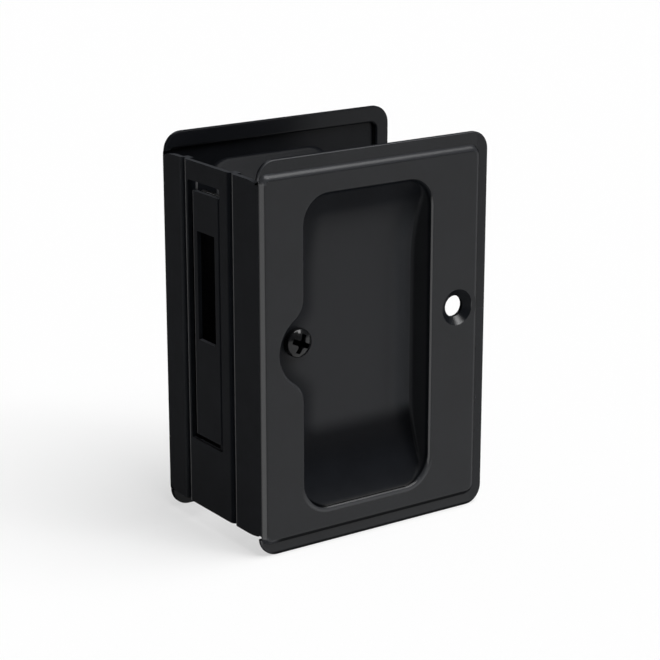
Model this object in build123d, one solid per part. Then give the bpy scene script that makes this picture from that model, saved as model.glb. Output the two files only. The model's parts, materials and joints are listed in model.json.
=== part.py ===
from build123d import *
import os
from math import sqrt

# Adjustable pocket door lock, receiver type, in millimetres.
# The lock stands on the bottom edges of its two rims: the origin is at the bottom centre of its box.
# X runs from the door's edge into the door, -Y is the front door face, +Z is up.
# Places on the lock are given as u, from the edge face along X, and v, up from mid-height.

# Plates on the two door faces
plate_width = 57.15
plate_height = 82.55
sheet = 1.1
rim_corner = 4.0
rim_edge_round = 0.3
closed_gap = 34.0          # between the rims when the lock is closed up
panel_raise = 1.1
panel_reach = 54.8         # u of the panel's far side
panel_half = 38.7
panel_corner = 2.5
fold_corner = 2.0          # corners of the panel beside the fold
panel_round = 1.5
recess_round = 0.7         # where the rim's back turns into the hollow behind the panel

# Flanges on the door's edge
flange_half = 37.25
relief_length = 4.5        # the flange's ends draw in beside the plate
relief_drop = 0.7
relief_play = 0.2          # past the flange's end, where the rim is notched beside the fold
bend_outer = 1.3
lip_depth = 2.1

# Finger cup
cup_left = 10.3
cup_right = 41.9
cup_half = 33.2
cup_corner = 6.0
cup_depth = 6.5
cup_floor_half = 14.0
cup_wall_round = 0.8
cup_lip_round = 0.7
scoop_past = 0.9           # the scoops run out past the opening, which leaves an upright lip

# Clamp screw, in a bump-out of the cup
screw_u = 12.4
screw_v = 1.5
bump_radius = 7.9
bump_blend = 5.5
screw_diameter = 3.5
screw_length = 22.0
head_diameter = 6.1
head_side = 1.3
head_dome = 1.0
head_round = 0.5
cross_length = 4.2
cross_width = 1.1
cross_core = 2.0           # round hollow where the arms meet
cross_depth = 1.3
cross_turn = -23.0         # degrees the cross stands off upright
hole_clearance = 0.1       # radial, round the screw
spacer_diameter = 8.0

# Sleeve nut in the rear cup
sleeve_diameter = 5.5
sleeve_length = 18.7
sleeve_bore_past = 1.7     # the bore runs on past the screw's tip
sleeve_head_diameter = 7.6
sleeve_play = 0.08         # radial, where the sleeve slides in the channel
seat_play = 0.02           # radial, where a piece is held fast

# Countersunk hole for a door screw
door_hole_u = 48.9
door_hole_v = 4.4
door_hole_diameter = 4.6
door_sink_diameter = 7.8
door_sink_depth = 1.2
door_hole_depth = 2.0

# Edge channel between the flanges
channel_front = -7.7       # Y of the leg beside the front flange
channel_rear = 10.3        # Y of the leg beside the rear flange
channel_sheet = 1.0
flange_play = 0.1          # between the rear flange's lip and the channel
leg_depth = 7.5
leg_top_half = 31.0        # the legs are cut away above and below this
ear_radius = 5.0
ear_blend = 3.0

# Window in the channel, and the gaps it leaves round the pull
window_top_gap = 2.1
window_bottom_gap = 1.4
window_front_gap = 0.35
window_rear_gap = 1.45
window_corner = 0.5

# Edge pull
pull_low = -21.3
pull_high = 31.1
pull_front = -3.45
pull_rear = 7.0
pull_sheet = 0.9
pull_recess = 0.1
pull_edge_round = 0.6
pull_side_depth = 3.0
pull_ear_radius = 2.3
pull_front_drop = 1.5      # from the pull's top to the side next to the spring
toe_overlap = 2.1          # from the window's top up behind the channel
toe_depth = 2.0
toe_play = 0.1
slot_low = -0.3
slot_high = 22.9
slot_width = 6.7

# Pivot pin and spring
pin_u = 3.0
pin_v = 25.0
pin_diameter = 2.0
pin_play = 0.05            # radial, where the pull turns
wire = 0.6
coil_play = 0.2            # radial, between pin and coil
coil_turns = 3
coil_pitch = 0.62
coil_gap = 0.7             # from the channel's front leg to the coil's fixed end
spring_tail = 4.5
spring_bend = 1.0
spring_bar_rise = 0.1      # from the pull's top up to the bar
spring_bar_gap = 0.8       # from the bar's end to the pull's far side
spring_tip = 1.3

# Worked out from the sizes above
edge_x = -plate_width / 2
mid_z = plate_height / 2
rim_y = closed_gap / 2
panel_back_y = rim_y + panel_raise
panel_y = panel_back_y + sheet
floor_y = panel_y - cup_depth
floor_back_y = floor_y - sheet
screw_tip_y = screw_length - floor_y
sleeve_mouth_y = floor_y - sleeve_length
window_low = pull_low - window_bottom_gap
window_high = pull_high + window_top_gap
window_front = pull_front - window_front_gap
window_rear = pull_rear + window_rear_gap
toe_high = window_high + toe_overlap
coil_start = channel_front + channel_sheet + coil_gap
spring_bar_v = pull_high + spring_bar_rise
spring_bar_rear = pull_rear - pull_sheet - spring_bar_gap
edge_plane = Plane((edge_x, 0, mid_z), x_dir=(0, 1, 0), z_dir=(1, 0, 0))


def door_plane(depth):
    """Plane along the front door face, depth in front of the mid-plane, facing outwards."""
    return Plane((edge_x, -depth, mid_z), x_dir=(1, 0, 0), z_dir=(0, -1, 0))


def side_plane(y):
    """Plane across the lock at y, facing the rear, with u to the left and v up."""
    return Plane((edge_x, y, mid_z), x_dir=(-1, 0, 0), z_dir=(0, 1, 0))


def rear_rod(radius, u, v, y_start, y_end):
    """Round bar along Y from y_start to y_end."""
    return extrude(side_plane(y_start) * Pos(-u, v) * Circle(radius), y_end - y_start)


def edge_block(u_low, u_high, y_low, y_high, v_low, v_high):
    """Box between two values of u, y and v."""
    size = (u_high - u_low, y_high - y_low, v_high - v_low)
    centre = (edge_x + (u_low + u_high) / 2, (y_low + y_high) / 2, mid_z + (v_low + v_high) / 2)
    return Pos(*centre) * Box(*size)


def bent_corner(section, place, radius):
    """Round one corner of a flat section."""
    return fillet(section.vertices().sort_by_distance(place)[0], radius)


def panel_outline(inset):
    """Outline of the raised panel, drawn in by inset all round."""
    right = panel_reach - inset
    half = panel_half - inset
    outline = Pos((right + inset) / 2, 0) * Rectangle(right - inset, 2 * half)
    near = outline.vertices().group_by(Axis.X)[0]
    outline = fillet(near, fold_corner - inset)
    far = outline.vertices().group_by(Axis.X)[-1]
    return fillet(far, panel_corner - inset)


def cup_outline():
    """Opening of the finger cup, with the bump-out round the screw."""
    width = cup_right - cup_left
    outline = Pos(cup_left + width / 2, 0) * RectangleRounded(width, 2 * cup_half, cup_corner)
    outline += Pos(screw_u, screw_v) * Circle(bump_radius)
    notch = sqrt(bump_radius**2 - (screw_u - cup_left) ** 2)
    corners = [
        outline.vertices().sort_by_distance((cup_left, screw_v + side * notch))[0]
        for side in (-1, 1)
    ]
    return fillet(corners, bump_blend)


def cup_scoop(grow):
    """Cup seen from the side, across the full plate: a flat floor with a round scoop at each end."""
    run = cup_half + scoop_past - cup_floor_half
    radius = (run**2 + cup_depth**2) / (2 * cup_depth)
    end = cup_floor_half + sqrt((radius + grow) ** 2 - (radius - cup_depth) ** 2)
    floor = -floor_y + grow
    mouth = -panel_y
    lines = [
        Line((floor, -cup_floor_half), (floor, cup_floor_half)),
        TangentArc((floor, cup_floor_half), (mouth, end), tangent=(0, 1)),
        Line((mouth, end), (mouth, -end)),
        TangentArc((floor, -cup_floor_half), (mouth, -end), tangent=(0, -1)),
    ]
    return extrude(edge_plane * make_face(Curve() + lines), plate_width)


def cup_body(grow):
    """Hollow of the cup, or with grow the outside of its sheet."""
    outline = cup_outline()
    if grow:
        outline = offset(outline, grow)
    block = extrude(door_plane(floor_y - grow) * outline, cup_depth + grow)
    body = block & cup_scoop(grow)
    walls = body.faces().filter_by(lambda face: abs(face.normal_at().Y) < 0.01)
    mouth = body.faces().sort_by(Axis.Y)[0].edges()
    foot = [edge for edge in walls.edges().filter_by(Axis.Y, reverse=True) if edge not in mouth]
    return fillet(foot, cup_wall_round + grow)


def edge_flange(lip_y):
    """Flange along the door's edge, from the front plate to the lip at lip_y."""
    base = -panel_back_y
    section = make_face(Polyline(
        (0, base), (0, lip_y), (lip_depth, lip_y), (lip_depth, lip_y - sheet),
        (sheet, lip_y - sheet), (sheet, base), close=True,
    ))
    section = bent_corner(section, (0, lip_y), bend_outer)
    section = bent_corner(section, (sheet, lip_y - sheet), bend_outer - sheet)
    flange = extrude(Pos(edge_x, 0, mid_z - flange_half) * section, 2 * flange_half)
    start = base + relief_length
    drawn = flange_half - relief_drop
    outline = [
        TangentArc((start, flange_half), (base, drawn), tangent=(-1, 0)),
        Line((base, drawn), (base, -drawn)),
        TangentArc((start, -flange_half), (base, -drawn), tangent=(-1, 0)),
        Line((start, -flange_half), (lip_y, -flange_half)),
        Line((lip_y, -flange_half), (lip_y, flange_half)),
        Line((lip_y, flange_half), (start, flange_half)),
    ]
    return flange & extrude(edge_plane * make_face(Curve() + outline), lip_depth)


def fold_relief():
    """Notches in the rim at the ends of the fold, clear of the flange's ends."""
    low = flange_half - relief_drop
    high = flange_half + relief_play
    notch = edge_block(0, fold_corner, -panel_back_y, -rim_y, low, high)
    return notch + mirror(notch, Plane((0, 0, mid_z)))


def door_hole():
    """Dimple and countersunk hole for a door screw: the sheet that is added, and the hollow that is cut."""
    place = door_plane(panel_y) * Pos(door_hole_u, door_hole_v)
    hole_radius = door_hole_diameter / 2
    sink_radius = door_sink_diameter / 2
    dimple = place * Pos(0, 0, -door_hole_depth / 2) * Cone(
        hole_radius + sheet / 2, sink_radius + sheet, door_hole_depth)
    sink = place * Pos(0, 0, -door_sink_depth / 2) * Cone(hole_radius, sink_radius, door_sink_depth)
    hole = place * Pos(0, 0, -door_hole_depth / 2) * Cylinder(hole_radius, door_hole_depth)
    return dimple, sink + hole


def formed_plate(lip_y, floor_hole_radius):
    """Plate for the front door face, pressed from one sheet."""
    outer_rim = Pos(plate_width / 2, 0) * RectangleRounded(plate_width, plate_height, rim_corner)
    rim = extrude(door_plane(rim_y) * outer_rim, sheet)
    rim = fillet(rim.edges().filter_by(GeomType.LINE).filter_by(Axis.Y, reverse=True), rim_edge_round)
    panel = extrude(door_plane(rim_y) * panel_outline(0), panel_raise + sheet)
    panel = fillet(panel.faces().sort_by(Axis.Y)[0].edges(), panel_round)
    plate = rim + panel - extrude(door_plane(rim_y) * panel_outline(sheet), panel_raise)
    plate = fillet(plate.faces().sort_by(Axis.Y)[-1].inner_wires()[0].edges(), recess_round)
    dimple, screw_hollow = door_hole()
    plate += edge_flange(lip_y) + cup_body(sheet) + dimple
    plate = plate - cup_body(0) - screw_hollow - fold_relief()
    openings = plate.faces().sort_by(Axis.Y)[0].inner_wires().sort_by(SortBy.LENGTH)
    plate = fillet(openings[-1].edges(), cup_lip_round)
    return plate - rear_rod(floor_hole_radius, screw_u, screw_v, -floor_y, -floor_back_y)


def sleeve_path():
    """Room for the sleeve, from its mouth back to the channel's rear leg."""
    radius = sleeve_diameter / 2 + sleeve_play
    return rear_rod(radius, screw_u, screw_v, sleeve_mouth_y - sleeve_play, channel_rear)


def edge_channel():
    """Strip between the flanges, folded into a U, with the window and the legs' ears."""
    deep = screw_u + ear_radius
    near = channel_front
    far = channel_rear
    section = make_face(Polyline(
        (deep, near), (0, near), (0, far), (deep, far), (deep, far - channel_sheet),
        (channel_sheet, far - channel_sheet), (channel_sheet, near + channel_sheet),
        (deep, near + channel_sheet), close=True,
    ))
    for corner, inner in ((near, near + channel_sheet), (far, far - channel_sheet)):
        section = bent_corner(section, (0, corner), bend_outer)
        section = bent_corner(section, (channel_sheet, inner), bend_outer - channel_sheet)
    channel = extrude(Pos(edge_x, 0, mid_z - flange_half) * section, 2 * flange_half)
    legs = make_face(Polyline(
        (0, -flange_half), (0, flange_half), (-lip_depth, flange_half), (-leg_depth, leg_top_half),
        (-leg_depth, -leg_top_half), (-lip_depth, -flange_half), close=True,
    ))
    ear = Pos(-screw_u, screw_v) * Circle(ear_radius)
    ear += Pos(-screw_u / 2, screw_v) * Rectangle(screw_u, 2 * ear_radius)
    legs += ear
    roots = [
        legs.vertices().sort_by_distance((-leg_depth, screw_v + side * ear_radius))[0]
        for side in (-1, 1)
    ]
    legs = fillet(roots, ear_blend)
    channel &= extrude(side_plane(near) * legs, far - near)
    window = Rectangle(window_rear - window_front, window_high - window_low)
    window = fillet(window.vertices(), window_corner)
    centre = Pos((window_front + window_rear) / 2, (window_low + window_high) / 2)
    channel -= extrude(edge_plane * centre * window, channel_sheet)
    channel -= rear_rod(pin_diameter / 2 + seat_play, pin_u, pin_v, near, far)
    channel -= rear_rod(screw_diameter / 2 + hole_clearance, screw_u, screw_v, near, 0)
    return channel - sleeve_path()


def pull_side(y, top, toe):
    """One side of the pull: a stiffening web with an ear round the pin, and a stop toe at the top."""
    web = Rectangle(pull_side_depth - pull_recess, top - pull_low)
    web = Pos(-(pull_recess + pull_side_depth) / 2, (pull_low + top) / 2) * web
    side = web + Pos(-pin_u, pin_v) * Circle(pull_ear_radius)
    if toe:
        front = channel_sheet + toe_play
        height = toe_high - pin_v
        side += Pos(-front - toe_depth / 2, pin_v + height / 2) * Rectangle(toe_depth, height)
    return extrude(side_plane(y) * side, pull_sheet)


def edge_pull():
    """Slotted lever in the window, folded into a shallow U."""
    face = edge_block(pull_recess, pull_recess + pull_sheet, pull_front, pull_rear, pull_low, pull_high)
    near = pull_side(pull_front, pull_high - pull_front_drop, False)
    far = pull_side(pull_rear - pull_sheet, pull_high, True)
    pull = face + near + far
    uprights = pull.edges().filter_by(Axis.Z).group_by(Axis.X)[0]
    pull = fillet(uprights, pull_edge_round)
    centre = (pull_front + pull_rear) / 2
    slot_half = slot_width / 2
    back = pull_recess + pull_sheet
    pull -= edge_block(0, back, centre - slot_half, centre + slot_half, slot_low, slot_high)
    pull -= rear_rod(pin_diameter / 2 + pin_play, pin_u, pin_v, pull_front, pull_rear)
    return pull


def pull_spring():
    """Torsion spring: a tail on the channel, a coil on the pin and a bar behind the pull's top edge."""
    coil_radius = pin_diameter / 2 + coil_play + wire / 2
    coil_axis = Plane((edge_x + pin_u, coil_start, mid_z + pin_v), x_dir=(-1, 0, 0), z_dir=(0, 1, 0))
    coil_path = coil_axis * Helix(coil_pitch, coil_turns * coil_pitch, coil_radius)
    coil = sweep(Plane(coil_path @ 0, z_dir=coil_path % 0) * Circle(wire / 2), coil_path)
    tail_path = Line(coil_path @ 0 - (coil_path % 0) * spring_tail, coil_path @ 0)
    front = (coil_path @ 1).X
    bar_z = mid_z + spring_bar_v
    rise = (coil_path % 1) * ((spring_bar_v - pin_v) / (coil_path % 1).Z)
    arm_path = FilletPolyline(
        coil_path @ 1, coil_path @ 1 + rise, (front, spring_bar_rear, bar_z),
        (front, spring_bar_rear, bar_z - spring_tip), radius=spring_bend,
    )
    ends = [sweep(Plane(path @ 0, z_dir=path % 0) * Circle(wire / 2), path) for path in (tail_path, arm_path)]
    return coil + ends


def pan_head(diameter, y):
    """Pan head with a cross recess, seated on y and standing out to the front."""
    radius = diameter / 2
    crown = head_side + head_dome
    profile = make_face(Curve() + [
        Line((0, 0), (radius, 0)),
        Line((radius, 0), (radius, head_side)),
        TangentArc((0, crown), (radius, head_side), tangent=(1, 0)),
        Line((0, crown), (0, 0)),
    ])
    head = revolve(Plane.XZ * fillet(profile.vertices().sort_by_distance((radius, head_side))[0], head_round))
    cross = Cylinder(cross_core / 2, 2 * cross_depth)
    for turn in (cross_turn, cross_turn + 90):
        cross += Rot(0, 0, turn) * Box(cross_length, cross_width, 2 * cross_depth)
    head -= Pos(0, 0, crown) * cross
    seat = Plane((edge_x + screw_u, y, mid_z + screw_v), x_dir=(1, 0, 0), z_dir=(0, -1, 0))
    return seat * head


def clamp_screw():
    """Screw that draws the two halves together."""
    head = pan_head(head_diameter, -floor_y)
    return head + rear_rod(screw_diameter / 2, screw_u, screw_v, -floor_y, screw_tip_y)


def sleeve_nut():
    """Threaded sleeve, headed in the rear cup, that the clamp screw turns into."""
    head = mirror(pan_head(sleeve_head_diameter, -floor_y), Plane.XZ)
    nut = head + rear_rod(sleeve_diameter / 2, screw_u, screw_v, sleeve_mouth_y, floor_y)
    bore = screw_diameter / 2 + hole_clearance
    return nut - rear_rod(bore, screw_u, screw_v, sleeve_mouth_y, screw_tip_y + sleeve_bore_past)


front_plate = formed_plate(channel_front, screw_diameter / 2 + hole_clearance)
rear_plate = mirror(formed_plate(-channel_rear - flange_play, sleeve_diameter / 2 + seat_play), Plane.XZ)
spacer = rear_rod(spacer_diameter / 2, screw_u, screw_v, -floor_back_y, channel_front)
spacer -= rear_rod(screw_diameter / 2 + hole_clearance, screw_u, screw_v, -floor_back_y, channel_front)
spacer -= sleeve_path()

pieces = {
    "front_plate": front_plate,
    "rear_plate": rear_plate,
    "edge_channel": edge_channel(),
    "edge_pull": edge_pull(),
    "pull_pin": rear_rod(pin_diameter / 2, pin_u, pin_v, channel_front, channel_rear),
    "pull_spring": pull_spring(),
    "clamp_screw": clamp_screw(),
    "sleeve_nut": sleeve_nut(),
    "screw_spacer": spacer,
}

os.makedirs("parts", exist_ok=True)
for name, piece in pieces.items():
    export_step(piece, f"parts/{name}.step")
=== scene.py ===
import json
import math
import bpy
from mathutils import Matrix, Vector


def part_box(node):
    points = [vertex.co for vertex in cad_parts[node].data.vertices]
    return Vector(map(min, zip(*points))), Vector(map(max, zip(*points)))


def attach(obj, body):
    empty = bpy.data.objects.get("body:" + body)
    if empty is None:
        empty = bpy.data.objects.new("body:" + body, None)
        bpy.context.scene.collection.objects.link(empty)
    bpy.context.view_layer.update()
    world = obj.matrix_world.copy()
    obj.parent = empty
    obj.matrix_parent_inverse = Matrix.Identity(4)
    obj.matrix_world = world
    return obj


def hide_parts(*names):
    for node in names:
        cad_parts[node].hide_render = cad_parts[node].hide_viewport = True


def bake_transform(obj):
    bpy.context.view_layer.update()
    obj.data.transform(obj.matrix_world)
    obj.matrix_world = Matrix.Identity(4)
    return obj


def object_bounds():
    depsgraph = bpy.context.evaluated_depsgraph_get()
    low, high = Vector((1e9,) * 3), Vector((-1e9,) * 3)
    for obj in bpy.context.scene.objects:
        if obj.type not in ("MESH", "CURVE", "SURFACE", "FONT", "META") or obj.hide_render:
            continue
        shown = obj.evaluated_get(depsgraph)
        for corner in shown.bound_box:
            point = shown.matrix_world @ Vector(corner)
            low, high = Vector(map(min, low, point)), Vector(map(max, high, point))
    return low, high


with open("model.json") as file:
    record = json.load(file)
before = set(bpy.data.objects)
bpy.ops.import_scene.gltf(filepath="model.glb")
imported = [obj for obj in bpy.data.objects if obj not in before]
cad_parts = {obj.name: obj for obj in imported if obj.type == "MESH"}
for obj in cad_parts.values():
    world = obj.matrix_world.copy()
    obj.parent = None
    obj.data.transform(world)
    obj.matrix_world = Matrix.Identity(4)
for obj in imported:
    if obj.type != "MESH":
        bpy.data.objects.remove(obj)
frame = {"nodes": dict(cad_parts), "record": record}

from types import SimpleNamespace

import bpy
from mathutils import Vector

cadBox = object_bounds()
boxCentre = (cadBox[0] + cadBox[1]) / 2
nodes = frame["nodes"]
mm = 0.001
print("frame loaded:", len(nodes), "nodes")


# shader maths: a Value is one output of a node, and arithmetic on it adds Math nodes
class Value:
    def __init__(self, tree, socket):
        self.tree = tree
        self.socket = socket

    def maths(self, operation, *inputs):
        return self.tree.node("ShaderNodeMath", {"operation": operation}, inputs)

    def __add__(self, other):
        return self.maths("ADD", self, other)

    __radd__ = __add__

    def __sub__(self, other):
        return self.maths("SUBTRACT", self, other)

    def __rsub__(self, other):
        return self.maths("SUBTRACT", other, self)

    def __neg__(self):
        return 0 - self

    def __mul__(self, other):
        return self.maths("MULTIPLY", self, other)

    __rmul__ = __mul__

    def __abs__(self):
        return self.maths("ABSOLUTE", self)

    def root(self):
        return self.maths("SQRT", self)

    def larger(self, other):
        return self.maths("MAXIMUM", self, other)

    def past(self, limits):  # 0 below the first limit, 1 above the second, smooth in between
        sockets = {"Value": self, "From Min": limits[0], "From Max": limits[1]}
        return self.tree.node("ShaderNodeMapRange", {"interpolation_type": "SMOOTHSTEP"}, sockets)

    def before(self, limits):
        return 1 - self.past(limits)


class Tree:
    def __init__(self, nodeTree):
        self.nodes = nodeTree.nodes
        self.links = nodeTree.links
        self.nodes.clear()

    # any node: its type, its settings, then the values or links of its sockets, by place or by name
    def node(self, kind, settings=None, inputs=(), output=0):
        made = self.nodes.new(kind)
        for name, value in (settings or {}).items():
            setattr(made, name, value)
        pairs = inputs.items() if isinstance(inputs, dict) else enumerate(inputs)
        for key, value in pairs:
            if isinstance(value, Value):
                self.links.new(value.socket, made.inputs[key])
            else:
                made.inputs[key].default_value = value
        if not made.outputs:
            return None
        return Value(self, made.outputs[output])

    def place(self, output="Object"):  # position or normal in the piece's own frame
        return self.node("ShaderNodeTexCoord", output=output)

    def noise(self, scale, detail):
        sockets = {"Vector": self.place(), "Scale": scale, "Detail": detail}
        return self.node("ShaderNodeTexNoise", {}, sockets)

    def axes(self, vector):
        parts = self.node("ShaderNodeSeparateXYZ", {}, [vector])
        sockets = parts.socket.node.outputs
        return [Value(self, sockets[axis]) for axis in ("X", "Y", "Z")]

    def mix(self, factor, first, second):
        colours = [shade if isinstance(shade, Value) else (*shade, 1) for shade in (first, second)]
        sockets = {0: factor, 6: colours[0], 7: colours[1]}
        return self.node("ShaderNodeMix", {"data_type": "RGBA"}, sockets, output=2)

    def bump(self, height):  # height in metres
        return self.node("ShaderNodeBump", {}, {"Height": height, "Distance": 1.0, "Strength": 1.0})


def distance(across, upright):
    return (across * across + upright * upright).root()


def newFinish(name):
    material = bpy.data.materials.new(name)
    material.use_nodes = True
    return material, Tree(material.node_tree)


def closeFinish(tree, sockets):
    shader = tree.node("ShaderNodeBsdfPrincipled", {}, sockets)
    tree.node("ShaderNodeOutputMaterial", {}, {"Surface": shader})


# satin black powder coat: deep black with fine grain, glossier on the door faces than on the door's edge,
# and smoothest where it flows round the outer bends; painted light and shade lie in its colour, place by place
satinCoat = dict(
    colour=(0.0072, 0.0080, 0.0098),
    thinColour=(0.0062, 0.0069, 0.0085),
    paintedInsideShade=(0.0016, 0.0016, 0.0018),   # painted shade inside the lock
    paintedBorderHighlight=(0.027, 0.028, 0.031),      # painted highlight on the rounded border of the panel and the lower lip of the cup
    paintedLipHighlight=(0.038, 0.039, 0.042),        # painted highlight on the panel beside that lip
    paintedUnderShade=(0.0030, 0.0033, 0.0039),    # painted shade where the border turns down or away, and on the lower edge of the rims
    paintedToeHighlight=(0.11, 0.11, 0.115),           # painted highlight on the toe of the pull
    paintedCupBackLight=(0.020, 0.021, 0.023),     # painted light on the backs of the cups
    paintedFloorLight=(0.0145, 0.0154, 0.0174),    # painted light on the floor of the cup, with painted shade beside its near wall
    paintedBesideWallLight=(0.046, 0.048, 0.052),      # more painted light beside its far wall
    paintedWallLight=(0.018, 0.019, 0.021),        # painted light on the walls of the cup
    paintedBandShade=(0.0052, 0.0056, 0.0066),     # painted shade where the cup's floor turns up into its lower scoop
    paintedLipFootShade=(0.0018, 0.0020, 0.0024),  # painted shade on the upright end of that scoop, and on the near walls of the cup
    paintedCutEndLight=(0.036, 0.038, 0.042),         # painted light on the sheared ends of the sheet
    mottleScale=140,
    mottleDetail=3,
    mottleRange=(0.35, 0.65),
    grainScale=3200,
    grainDetail=2,
    grainHeight=0.010 * mm,
    peelScale=700,
    peelDetail=1,
    peelHeight=0.010 * mm,
    roughness=0.50,
    roughnessSpread=0.08,
    specular=0.0,
    filmStrength=1.8,       # refraction of the film on top
    filmRoughness=0.27,
    faceGloss=0.335,        # weight of the film, place by place
    cupGloss=0.20,
    cupBackGloss=0.34,
    plateBackGloss=0.12,
    rimBackGloss=0.21,
    sideGloss=0.053,
    bendGloss=0.27,
    foldGloss=0.92,         # bends that turn from the door's face to its edge
    edgeBendGloss=0.34,
    sinkGloss=0.45,         # lower side of a countersink
    wallShade=0.62,         # painted shade: share of gloss and floor colour lost beside the cup's near wall
    rimShade=0.18,          # on the rim at the panel's far side
    scoopShade=0.9,         # in the cup's lower scoop
    steepShade=0.55,        # and at the steep end of that scoop
)

# how far a surface turns a way, as part of its normal, from where a look starts to where it is full
coatTurns = dict(
    border=(0.955, 0.999),  # square to the door: no longer border
    under=(0.08, 0.30),
    away=(0.34, 0.52),
    lip=(0.08, 0.30),
    bend=(0.03, 0.16),      # off all three axes
    notDown=(-0.30, -0.05),
    fold=(0.05, 0.30),
    foldLevel=(0.15, 0.50),
    rearBend=(0.02, 0.15),
    groove=(0.10, 0.45),
    face=(0.87, 0.97),
    back=(0.88, 0.97),
    scoop=(0.06, 0.22),
    steep=(0.34, 0.50),
    sink=(0.40, 0.58),
    cut=(0.80, 0.95),
    wall=(0.45, 0.75),      # square to the door: no longer wall
    floorUp=(0.03, 0.20),   # turned up or down: no longer floor
    floorDown=(0.10, 0.50),
    bandStart=(0.06, 0.20),
    bandEnd=(0.22, 0.42),
    foot=(0.53, 0.75),
    toe=(0.5, 0.8),
)

plateLow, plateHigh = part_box("front_plate")
screwLow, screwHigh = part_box("clamp_screw")
screwPlace = (screwLow + screwHigh) / 2
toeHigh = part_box("edge_pull")[1]    # the toe is at the top of the pull's rear side
panelDepth = -plateLow.y            # from the middle of the lock to the panel's face
cupDepth = panelDepth - 6.5 * mm    # to the cup's floor
holePlace = boxCentre + Vector((20.325 * mm, 0, 4.4 * mm))  # holes for the door's screws
cupShape = dict(
    left=plateLow.x + 10.3 * mm,
    right=plateLow.x + 41.9 * mm,
    half=33.2 * mm,                 # opening above and below mid-height
    corner=6.0 * mm,
    bump=7.9 * mm,                  # radius of the bump-out for the screw
)
wallShadow = dict(
    right=4.3 * mm,                 # the near wall's shade lies this far to the right on the floor
    down=2.3 * mm,
    blend=4.0 * mm,                 # how softly the shade of the wall runs into that of the bump-out
    fade=(-0.3 * mm, 3.4 * mm),
)


def limits(base, low, high):  # soft limit of a place, from low to high mm past its base
    return base + low * mm, base + high * mm


coatPlaces = dict(
    # from the middle of the lock towards a door face
    glowDepth=limits(panelDepth, -0.30, -0.15),
    lipDepth=limits(panelDepth, -0.75, -0.60),
    steepDepth=limits(panelDepth, -1.2, -0.8),
    borderDepth=limits(panelDepth, -1.6, -1.44),
    cupTop=limits(panelDepth, -2.0, -1.0),
    rimBack=limits(panelDepth, -2.0, -1.7),
    cupRise=limits(panelDepth, -5.5, 0),
    cupBackRise=limits(panelDepth, -5.5, -2.5),
    floorBack=limits(panelDepth, -6.5, -4.5),
    footDepth=limits(panelDepth, -6.5, -5.5),
    floorDepth=limits(panelDepth, -6.9, -6.7),
    sheetBack=limits(panelDepth, -8.7, -7.9),
    # from the door's edge
    insideEdge=limits(plateLow.x, 1.0, 1.6),
    toeEdge=limits(plateLow.x, 1.02, 1.06),
    edgeBends=limits(plateLow.x, 1.35, 1.485),
    borderNear=limits(plateLow.x, 1.7, 2.0),
    underStart=limits(plateLow.x, 2.5, 4.5),
    cutReach=limits(plateLow.x, 3.4, 3.8),
    bumpStart=limits(plateLow.x, 4.2, 4.5),
    cupStart=limits(plateLow.x, 10.0, 10.3),
    nearSide=limits(plateLow.x, 12.3, 14.3),
    besideWall=limits(plateLow.x, 35.1, 41.1),
    footEnd=limits(plateLow.x, 37.9, 39.9),
    wallStart=limits(plateLow.x, 41.2, 41.5),
    wallEnd=limits(plateLow.x, 42.1, 42.3),
    cupEnd=limits(plateLow.x, 42.2, 42.5),
    lowerLipEnd=limits(plateLow.x, 42.5, 42.8),
    lipEnd=limits(plateLow.x, 42.9, 43.4),
    borderFar=limits(plateHigh.x, -4.6, -4.3),
    farRim=limits(plateHigh.x, -3.2, -2.7),
    # up and down from mid-height, and from the lower end
    insideTop=limits(0, 28, 30),
    cupHeight=limits(0, 33.2, 33.5),
    steepHeight=limits(0, 33.5, 33.8),
    lipHeight=limits(0, 33.8, 34.1),
    borderHeight=limits(0, 36.5, 36.8),
    lowerEdge=limits(plateLow.z, 0.35, 0.85),
    # from the pull's top and its rear side
    toeLow=limits(toeHigh.z, -4.4, -4.1),
    toeTop=limits(toeHigh.z, 0, 0.1),
    toeFront=limits(toeHigh.y, -1.0, -0.95),
    toeRear=limits(toeHigh.y, 0, 0.05),
    # out from the middle of the hole, and from the cup's opening
    holeReach=limits(0, 4.0, 4.3),
    glowStart=limits(0, 0, 0.75),
    glowEnd=limits(0, 0.75, 1.25),
    glowDown=limits(0, 0, 6.0),
    # the part of the normal that faces out of the door, times the depth
    outside=limits(0, -0.2, 0.2),
    cupOutside=limits(0, -3, 0),
    backOutside=limits(0, -4, 0),
)


# a point of the coat: where it is and which way it faces
def spotOn(tree):
    x, y, z = tree.axes(tree.place())
    right, rear, up = tree.axes(tree.place("Normal"))
    rise = z - boxCentre.z
    return SimpleNamespace(
        x=x, y=y, z=z, depth=abs(y), rise=rise, height=abs(rise),
        right=right, rear=rear, up=up, left=-right, front=-rear, down=-up,
        square=abs(rear), level=abs(up), outward=rear * y,
    )


def panelBorder(spot):  # the rounding between the panel and its rim: painted highlight, and painted shade where it turns under
    outside = spot.height.past(coatPlaces["borderHeight"]).larger(spot.x.past(coatPlaces["borderFar"]))
    return outside * spot.depth.past(coatPlaces["borderDepth"]) * spot.square.before(coatTurns["border"])


def turnedUnder(spot):  # the border where it turns down, or away at the panel's far side: painted shade there, and less gloss
    under = spot.down.past(coatTurns["under"]).larger(spot.right.past(coatTurns["away"]))
    return panelBorder(spot) * under * spot.x.past(coatPlaces["underStart"])


# the lower lip of the cup, where a highlight is painted
def lowerLip(spot):
    within = spot.height.before(coatPlaces["lipHeight"]) * spot.depth.past(coatPlaces["lipDepth"])
    within = within * spot.x.past(coatPlaces["bumpStart"]) * spot.x.before(coatPlaces["lowerLipEnd"])
    return within * spot.up.past(coatTurns["lip"])


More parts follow.
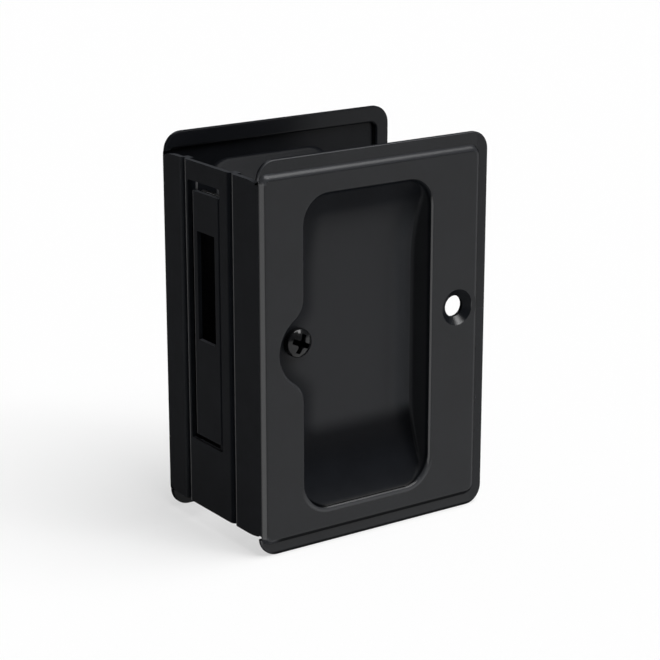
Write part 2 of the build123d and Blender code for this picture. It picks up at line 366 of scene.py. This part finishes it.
def lipHighlightBand(spot):  # painted highlight on the panel next to the lower lip, where the bend starts
    middle = (cupShape["left"] + cupShape["right"]) / 2
    halfWidth = (cupShape["right"] - cupShape["left"]) / 2
    across = (abs(spot.x - middle) - (halfWidth - cupShape["corner"])).larger(0)
    down = (-spot.rise - (cupShape["half"] - cupShape["corner"])).larger(0)
    reach = distance(across, down) - cupShape["corner"]
    near = reach.past(coatPlaces["glowStart"]) * reach.before(coatPlaces["glowEnd"])
    return near * down.past(coatPlaces["glowDown"]) * spot.depth.past(coatPlaces["glowDepth"])


def nearWall(spot):  # the floor in the soft shade of the near wall and of the bump-out round the screw
    x = spot.x - wallShadow["right"]
    z = spot.z + wallShadow["down"]
    inBump = cupShape["bump"] - distance(x - screwPlace.x, z - screwPlace.z)
    inCup = x - cupShape["left"]
    overlap = (wallShadow["blend"] - abs(inCup - inBump)).larger(0)
    within = inCup.larger(inBump) + overlap * overlap * (0.25 / wallShadow["blend"])  # smooth maximum
    return within.before(wallShadow["fade"])


def lowerEdge(spot):  # the rounded lower edge of the rims: painted shade there, and less gloss
    return spot.z.before(coatPlaces["lowerEdge"])


def nearHole(spot):  # the countersinks for the door's screws
    return distance(spot.x - holePlace.x, spot.z - holePlace.z).before(coatPlaces["holeReach"])


def insideLock(spot):  # behind the edge face and between the cups: painted shade
    behind = spot.x.past(coatPlaces["insideEdge"]) * spot.rise.before(coatPlaces["insideTop"])
    return behind * spot.depth.before(coatPlaces["sheetBack"])


def cutEnds(spot):  # upper and lower ends of the flanges, the channel and the pull, where light is painted
    return spot.level.past(coatTurns["cut"]) * spot.x.before(coatPlaces["cutReach"])


# painted light on the backs of the cups
def cupBack(spot):
    inward = spot.outward.before(coatPlaces["backOutside"])
    return inward * spot.depth.before(coatPlaces["cupBackRise"]) * spot.depth.past(coatPlaces["sheetBack"])


def insideCup(spot):  # 1 on the visible side of a cup
    below = spot.depth.before(coatPlaces["cupTop"]) * spot.depth.past(coatPlaces["floorDepth"])
    within = spot.x.past(coatPlaces["bumpStart"]) * spot.x.before(coatPlaces["cupEnd"])
    within = within * spot.height.before(coatPlaces["cupHeight"])
    return spot.outward.past(coatPlaces["cupOutside"]) * below * within


# the far wall of the cup, where light is painted
def farWall(spot):
    return spot.x.past(coatPlaces["wallStart"]) * spot.x.before(coatPlaces["wallEnd"])


def steepWall(spot):  # the upright walls, round the cup's corners too
    return spot.square.before(coatTurns["wall"])


def nearSide(spot):
    return spot.x.before(coatPlaces["nearSide"])


def cupFloor(spot):
    return spot.up.before(coatTurns["floorUp"]) * spot.down.before(coatTurns["floorDown"])


def besideWall(spot):  # the strip of floor that mirrors the far wall, where light is painted
    return cupFloor(spot) * spot.x.past(coatPlaces["besideWall"]) * (1 - farWall(spot))


# where the floor turns up into the lower scoop: painted shade
def scoopBand(spot):
    return spot.up.past(coatTurns["bandStart"]) * spot.up.before(coatTurns["bandEnd"])


# the upright end of the lower scoop: painted shade
def lipFoot(spot):
    within = spot.height.before(coatPlaces["cupHeight"]) * spot.depth.past(coatPlaces["footDepth"])
    within = within * spot.x.past(coatPlaces["cupStart"]) * spot.x.before(coatPlaces["footEnd"])
    return within * spot.outward.past(coatPlaces["cupOutside"]) * spot.up.past(coatTurns["foot"])


# painted highlight on the toe of the pull
def toeHighlightSpot(spot):
    toe = spot.z.past(coatPlaces["toeLow"]) * spot.z.before(coatPlaces["toeTop"])
    toe = toe * spot.y.past(coatPlaces["toeFront"]) * spot.y.before(coatPlaces["toeRear"])
    return toe * spot.x.past(coatPlaces["toeEdge"]) * spot.left.past(coatTurns["toe"])


def bendGloss(spot, coat):  # border of the panel, lip of the cup and the bends along the door's edge
    squareness = abs(spot.right).larger(spot.square).larger(spot.level)
    bend = (1 - squareness).past(coatTurns["bend"])
    lip = spot.depth.past(coatPlaces["lipDepth"]) * spot.x.before(coatPlaces["lipEnd"])
    border = spot.height.past(coatPlaces["borderHeight"]).larger(spot.x.past(coatPlaces["borderFar"]))
    border = border.larger(spot.x.before(coatPlaces["borderNear"]))
    border = border * spot.depth.past(coatPlaces["borderDepth"])
    fold = spot.left.past(coatTurns["fold"]) * spot.level.before(coatTurns["foldLevel"])
    gloss = coat["bendGloss"] + fold * (coat["foldGloss"] - coat["bendGloss"])
    outer = bend * lip.larger(border) * spot.up.past(coatTurns["notDown"]) * gloss
    rearBend = spot.x.before(coatPlaces["edgeBends"]) * spot.rear.past(coatTurns["rearBend"])
    return outer.larger(rearBend * coat["edgeBendGloss"])


def faceGloss(spot, coat):  # the broad faces: panel, floor of the cup, and their backs
    inCup = spot.depth.before(coatPlaces["cupRise"])
    front = coat["faceGloss"] + inCup * (coat["cupGloss"] - coat["faceGloss"])
    front = front * (1 - inCup * nearWall(spot) * coat["wallShade"])
    front = front * (1 - inCup * spot.up.past(coatTurns["scoop"]) * coat["scoopShade"])
    front = front * spot.square.past(coatTurns["face"])
    front = front * (1 - turnedUnder(spot)) * (1 - lowerEdge(spot))
    front = front * (1 - spot.x.past(coatPlaces["farRim"]) * coat["rimShade"])
    onRim = spot.depth.before(coatPlaces["rimBack"])
    back = coat["plateBackGloss"] + onRim * (coat["rimBackGloss"] - coat["plateBackGloss"])
    back = back + spot.depth.before(coatPlaces["floorBack"]) * (coat["cupBackGloss"] - back)
    back = back * spot.depth.past(coatPlaces["sheetBack"]) * spot.square.past(coatTurns["back"])
    return back + spot.outward.past(coatPlaces["outside"]) * (front - back)


def sideGloss(spot, coat):  # the rest: faint, and less in the grooves and on the cup's steep end and near walls
    groove = spot.x.before(coatPlaces["edgeBends"]) * spot.front.past(coatTurns["groove"])
    steep = spot.depth.before(coatPlaces["steepDepth"]) * spot.height.before(coatPlaces["steepHeight"])
    steep = steep * spot.x.past(coatPlaces["cupStart"]) * spot.outward.past(coatPlaces["outside"])
    steep = steep * spot.up.past(coatTurns["steep"]) * coat["steepShade"]
    nearWalls = insideCup(spot) * steepWall(spot) * nearSide(spot)
    return (1 - groove) * (1 - steep) * (1 - nearWalls) * coat["sideGloss"]


def filmGloss(spot, coat):
    sink = nearHole(spot) * spot.up.past(coatTurns["sink"]) * coat["sinkGloss"]
    return faceGloss(spot, coat).larger(bendGloss(spot, coat)).larger(sink).larger(sideGloss(spot, coat))


def satinBlack():
    coat = satinCoat
    material, tree = newFinish("satinBlack")
    spot = spotOn(tree)
    mottle = tree.noise(coat["mottleScale"], coat["mottleDetail"]).past(coat["mottleRange"])
    grain = tree.noise(coat["grainScale"], coat["grainDetail"])
    peel = tree.noise(coat["peelScale"], coat["peelDetail"])
    height = grain * coat["grainHeight"] + peel * coat["peelHeight"]
    cup = insideCup(spot)
    steep = steepWall(spot)
    paintedLightAndShade = [  # painted light and shade, place by place; each one goes over those before it
        ("paintedInsideShade", insideLock(spot)),
        ("paintedBorderHighlight", panelBorder(spot).larger(lowerLip(spot))),
        ("paintedLipHighlight", lipHighlightBand(spot)),
        ("paintedUnderShade", turnedUnder(spot).larger(lowerEdge(spot))),
        ("paintedToeHighlight", toeHighlightSpot(spot)),
        ("paintedCupBackLight", cupBack(spot)),
        ("paintedFloorLight", cup * cupFloor(spot) * (1 - nearWall(spot) * coat["wallShade"])),
        ("paintedBesideWallLight", cup * besideWall(spot)),
        ("paintedWallLight", cup * farWall(spot).larger(steep)),
        ("paintedBandShade", cup * scoopBand(spot) * (1 - steep)),
        ("paintedLipFootShade", cup * steep * nearSide(spot)),
        ("paintedLipFootShade", lipFoot(spot)),
        ("paintedCutEndLight", cutEnds(spot)),
    ]
    colour = tree.mix(mottle, coat["thinColour"], coat["colour"])
    for name, mask in paintedLightAndShade:
        colour = tree.mix(mask, colour, coat[name])
    closeFinish(tree, {
        "Base Color": colour,
        "Roughness": coat["roughness"] + (grain - 0.5) * coat["roughnessSpread"],
        "Specular IOR Level": coat["specular"],
        "Coat Weight": filmGloss(spot, coat),
        "Coat Roughness": coat["filmRoughness"],
        "Coat IOR": coat["filmStrength"],
        "Normal": tree.bump(height),
    })
    return material


# glossy black screws, with faint turning marks, and a dull cross recess with painted shade
blackScrewFinish = dict(
    colour=(0.0050, 0.0052, 0.0058),
    speckScale=900,
    speckDetail=3,
    speckRange=(0.4, 0.7),
    speckShade=1.6,         # times the colour
    recessShade=0.2,
    recessReach=(2.35 * mm, 2.45 * mm),
    recessRise=(1.35 * mm, 1.75 * mm),  # the recess's shade ends this far above the seat of the head
    roughness=0.40,
    markDulling=0.08,
    markScale=5200,
    markDetail=2,
    markHeight=0.003 * mm,
    specular=0.0,
    filmStrength=1.6,
    filmRoughness=0.16,
    filmGloss=0.55,
)


def crossRecess(tree, finish):  # 1 deep in the cross of a head, seen from either side of the lock, where shade is painted
    x, y, z = tree.axes(tree.place())
    inside = distance(x - screwPlace.x, z - screwPlace.z).before(finish["recessReach"])
    return inside * (abs(y) - cupDepth).before(finish["recessRise"])


def blackScrew():
    finish = blackScrewFinish
    material, tree = newFinish("blackScrew")
    speck = tree.noise(finish["speckScale"], finish["speckDetail"]).past(finish["speckRange"])
    marks = tree.noise(finish["markScale"], finish["markDetail"])
    recess = crossRecess(tree, finish)
    speckColour = [finish["speckShade"] * part for part in finish["colour"]]
    paintedRecessShade = [finish["recessShade"] * part for part in finish["colour"]]
    closeFinish(tree, {
        "Base Color": tree.mix(recess, tree.mix(speck, finish["colour"], speckColour), paintedRecessShade),
        "Roughness": finish["roughness"] + marks * finish["markDulling"],
        "Specular IOR Level": finish["specular"],
        "Coat Weight": (1 - recess) * finish["filmGloss"],
        "Coat Roughness": finish["filmRoughness"],
        "Coat IOR": finish["filmStrength"],
        "Normal": tree.bump(marks * finish["markHeight"]),
    })
    return material


# bare and zinc-plated steel, and the darker wire of the spring
steelFinish = dict(
    colour=(0.46, 0.47, 0.49),
    stain=(0.30, 0.30, 0.31),
    roughness=0.30,
    lineScale=2600,
    lineHeight=0.003 * mm,
)
wireFinish = dict(
    colour=(0.14, 0.14, 0.145),
    stain=(0.08, 0.08, 0.084),
    roughness=0.24,
    lineScale=4200,
    lineHeight=0.002 * mm,
)
steelWear = dict(
    stainScale=260,
    stainDetail=3,
    stainRange=(0.42, 0.66),
    stainDulling=0.12,
    lineDetail=2,
)


def steel(name, finish):
    material, tree = newFinish(name)
    stain = tree.noise(steelWear["stainScale"], steelWear["stainDetail"]).past(steelWear["stainRange"])
    lines = tree.noise(finish["lineScale"], steelWear["lineDetail"])
    closeFinish(tree, {
        "Base Color": tree.mix(stain, finish["colour"], finish["stain"]),
        "Metallic": 1.0,
        "Roughness": finish["roughness"] + stain * steelWear["stainDulling"],
        "Normal": tree.bump(lines * finish["lineHeight"]),
    })
    return material


finishes = {
    "satin_black": satinBlack(),
    "black_screw": blackScrew(),
    "plain_steel": steel("plainSteel", steelFinish),
    "spring_steel": steel("springSteel", wireFinish),
}
for subpart in frame["record"]["subparts"]:
    slots = nodes[subpart["node"]].data.materials
    for index in range(len(slots)):
        slots[index] = finishes[subpart["material_slot"]]
print("finishes set:", len(finishes))


# round wire or ridge along a path
def sweepWire(name, path, radius, sides, finish):
    verts = []
    side = None
    for index, point in enumerate(path):
        ahead = (path[min(index + 1, len(path) - 1)] - path[max(index - 1, 0)]).normalized()
        side = side or ahead.orthogonal()
        side = (side - ahead * side.dot(ahead)).normalized()
        across = ahead.cross(side)
        for step in range(sides):
            turn = 2 * math.pi * step / sides
            verts.append(point + (side * math.cos(turn) + across * math.sin(turn)) * radius)
    faces = [list(range(sides))[::-1], list(range(len(verts) - sides, len(verts)))]
    for ring in range(0, len(verts) - sides, sides):
        for step in range(sides):
            following = (step + 1) % sides
            faces.append((ring + step, ring + following, ring + sides + following, ring + sides + step))
    mesh = bpy.data.meshes.new(name)
    mesh.from_pydata(verts, [], faces)
    mesh.materials.append(finishes[finish])
    for face in mesh.polygons:
        face.use_smooth = len(face.vertices) == 4
    wire = bpy.data.objects.new(name, mesh)
    bpy.context.scene.collection.objects.link(wire)
    return wire


def helix(axis, radius, pitch, start, turns, stepsPerTurn):  # round Y, from the side next to the edge face
    points = []
    for step in range(round(turns * stepsPerTurn) + 1):
        turn = 2 * math.pi * step / stepsPerTurn
        rise = start + pitch * step / stepsPerTurn
        points.append(Vector((axis.x - radius * math.cos(turn), rise, axis.z + radius * math.sin(turn))))
    return points


bendSteps = 8  # straight pieces in a bend of the wire or of the stage


def bentLine(corners, reach):  # straight lines with a soft bend at each inner corner
    points = [corners[0]]
    for before, corner, after in zip(corners, corners[1:], corners[2:]):
        first = corner + (before - corner).normalized() * reach
        last = corner + (after - corner).normalized() * reach
        for step in range(bendSteps + 1):
            share = step / bendSteps
            points.append(first.lerp(corner, share).lerp(corner.lerp(last, share), share))
    return points + [corners[-1]]


# spring of the pull: its tail lies by the channel, its bar reaches up to the pull and the coil winds between
springShape = dict(
    wire=0.6 * mm,
    sides=12,
    coil=1.5 * mm,      # radius to the middle of the wire
    turns=3,
    stepsPerTurn=24,
    pitch=0.62 * mm,
    start=-6.0 * mm,
    tail=4.5 * mm,
    bend=1.0 * mm,
    barRise=6.2 * mm,   # from the pin up to the bar
    barEnd=5.3 * mm,
    tip=1.3 * mm,
)


def makeSpring():
    shape = springShape
    pinLow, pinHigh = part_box("pull_pin")
    axis = (pinLow + pinHigh) / 2
    coil = helix(axis, shape["coil"], shape["pitch"], shape["start"], shape["turns"], shape["stepsPerTurn"])
    lead = Vector((0, shape["pitch"] / (2 * math.pi), shape["coil"])).normalized()
    top = coil[-1] + lead * (shape["barRise"] / lead.z)
    far = Vector((top.x, shape["barEnd"], top.z))
    arm = bentLine([coil[-1], top, far, far - Vector((0, 0, shape["tip"]))], shape["bend"])
    path = [coil[0] - lead * shape["tail"]] + coil + arm[1:]
    spring = sweepWire("pullSpring", path, shape["wire"] / 2, shape["sides"], "spring_steel")
    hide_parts("pull_spring")
    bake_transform(spring)


# thread of the clamp screw, in sight when the lock is set for a thick door
threadShape = dict(
    pitch=0.7 * mm,
    start=-6.5 * mm,
    end=9.1 * mm,
    crest=1.82 * mm,
    ridge=0.22 * mm,    # radius of the rounded ridge, mostly sunk in the shank
    sides=8,
    stepsPerTurn=20,
)


def makeThread():
    shape = threadShape
    turns = (shape["end"] - shape["start"]) / shape["pitch"]
    radius = shape["crest"] - shape["ridge"]
    path = helix(screwPlace, radius, shape["pitch"], shape["start"], turns, shape["stepsPerTurn"])
    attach(sweepWire("screwThread", path, shape["ridge"], shape["sides"], "black_screw"), "front_half")


makeSpring()
makeThread()
print("spring and thread made")


# white floor with a low white wall round it, under a dim room
stageLook = dict(
    floorRadius=2.5,
    bendRadius=0.12,
    wallHeight=0.18,
    spokes=96,
    colour=0.90,
    glow=0.60,          # share of the white that doesn't come from the lamps
    room=0.10,
)


def grey(level):
    return (level, level, level, 1)


def seenRay(tree):  # 1 for what is looked at, reflected or seen through
    path = tree.node("ShaderNodeLightPath").socket.node.outputs
    seen = [Value(tree, path[name]) for name in ("Is Camera Ray", "Is Glossy Ray", "Is Transmission Ray")]
    return seen[0].larger(seen[1]).larger(seen[2])


def whiteStage():
    material, tree = newFinish("whiteStage")
    paint = tree.node("ShaderNodeBsdfDiffuse", {}, {"Color": grey(stageLook["colour"])})
    glow = tree.node("ShaderNodeEmission", {}, {"Color": grey(1)})
    share = seenRay(tree) * stageLook["glow"]
    shader = tree.node("ShaderNodeMixShader", {}, {0: share, 1: paint, 2: glow})
    tree.node("ShaderNodeOutputMaterial", {}, {"Surface": shader})
    return material


def makeStage():
    radius = stageLook["floorRadius"]
    bend = stageLook["bendRadius"]
    spokes = stageLook["spokes"]
    profile = []
    for step in range(bendSteps + 1):
        turn = math.radians(90 * step / bendSteps)
        profile.append((radius - bend + bend * math.sin(turn), bend - bend * math.cos(turn)))
    profile.append((radius, stageLook["wallHeight"]))
    rings = len(profile)
    verts = [(0, 0, 0)]
    faces = []
    for spoke in range(spokes):
        turn = 2 * math.pi * spoke / spokes
        verts += [(reach * math.cos(turn), reach * math.sin(turn), rise) for reach, rise in profile]
        here = 1 + spoke * rings
        there = 1 + (spoke + 1) % spokes * rings
        faces.append((0, here, there))
        faces += [(here + ring, here + ring + 1, there + ring + 1, there + ring) for ring in range(rings - 1)]
    mesh = bpy.data.meshes.new("stage")
    mesh.from_pydata(verts, [], faces)
    mesh.materials.append(whiteStage())
    stage = bpy.data.objects.new("stage", mesh)
    bpy.context.scene.collection.objects.link(stage)


def makeRoom():
    world = bpy.data.worlds.new("dimRoom")
    world.use_nodes = True
    bpy.context.scene.world = world
    tree = Tree(world.node_tree)
    shader = tree.node("ShaderNodeBackground", {}, {"Color": grey(stageLook["room"])})
    tree.node("ShaderNodeOutputWorld", {}, {"Surface": shader})


# soft lamps: turn is round the lock from its front, positive to the right
lamps = {
    "frontLamp": dict(turn=33, height=36, strength=0.40, spread=14),
    "topLamp": dict(turn=35, height=64, strength=3.2, spread=50),
}


def makeLamp(name, turn, height, strength, spread):
    lamp = bpy.data.lights.new(name, "SUN")
    lamp.energy = strength
    lamp.angle = math.radians(spread)
    lampObject = bpy.data.objects.new(name, lamp)
    bpy.context.scene.collection.objects.link(lampObject)
    around = math.radians(turn)
    rise = math.radians(height)
    towards = Vector((math.sin(around) * math.cos(rise), -math.cos(around) * math.cos(rise), math.sin(rise)))
    lampObject.rotation_euler = towards.to_track_quat("Z", "Y").to_euler()


makeStage()
makeRoom()
for name, lamp in lamps.items():
    makeLamp(name, **lamp)
print("stage and lamps made")


# camera at the photograph's viewing angle
photoView = dict(
    azimuth=34.76,
    elevation=16.59,
    distance=0.44627,
    lens=114.27,
    sensor=36,
    nearest=0.01,       # nothing closer than this is drawn
    sideways=0.873 * mm,
    upward=-1.756 * mm,
)


def makeCamera():
    camera = bpy.data.cameras.new("photoCamera")
    camera.lens = photoView["lens"]
    camera.sensor_width = photoView["sensor"]
    camera.clip_start = photoView["nearest"]
    cameraObject = bpy.data.objects.new("photoCamera", camera)
    bpy.context.scene.collection.objects.link(cameraObject)
    around = math.radians(photoView["azimuth"])
    rise = math.radians(photoView["elevation"])
    look = Vector((math.sin(around) * math.cos(rise), math.cos(around) * math.cos(rise), -math.sin(rise)))
    right = Vector((math.cos(around), -math.sin(around), 0))
    aim = boxCentre + right * photoView["sideways"] + right.cross(look) * photoView["upward"]
    cameraObject.location = aim - look * photoView["distance"]
    cameraObject.rotation_euler = look.to_track_quat("-Z", "Y").to_euler()
    bpy.context.scene.camera = cameraObject


makeCamera()
bpy.context.scene.view_settings.view_transform = "Standard"
print("camera set")
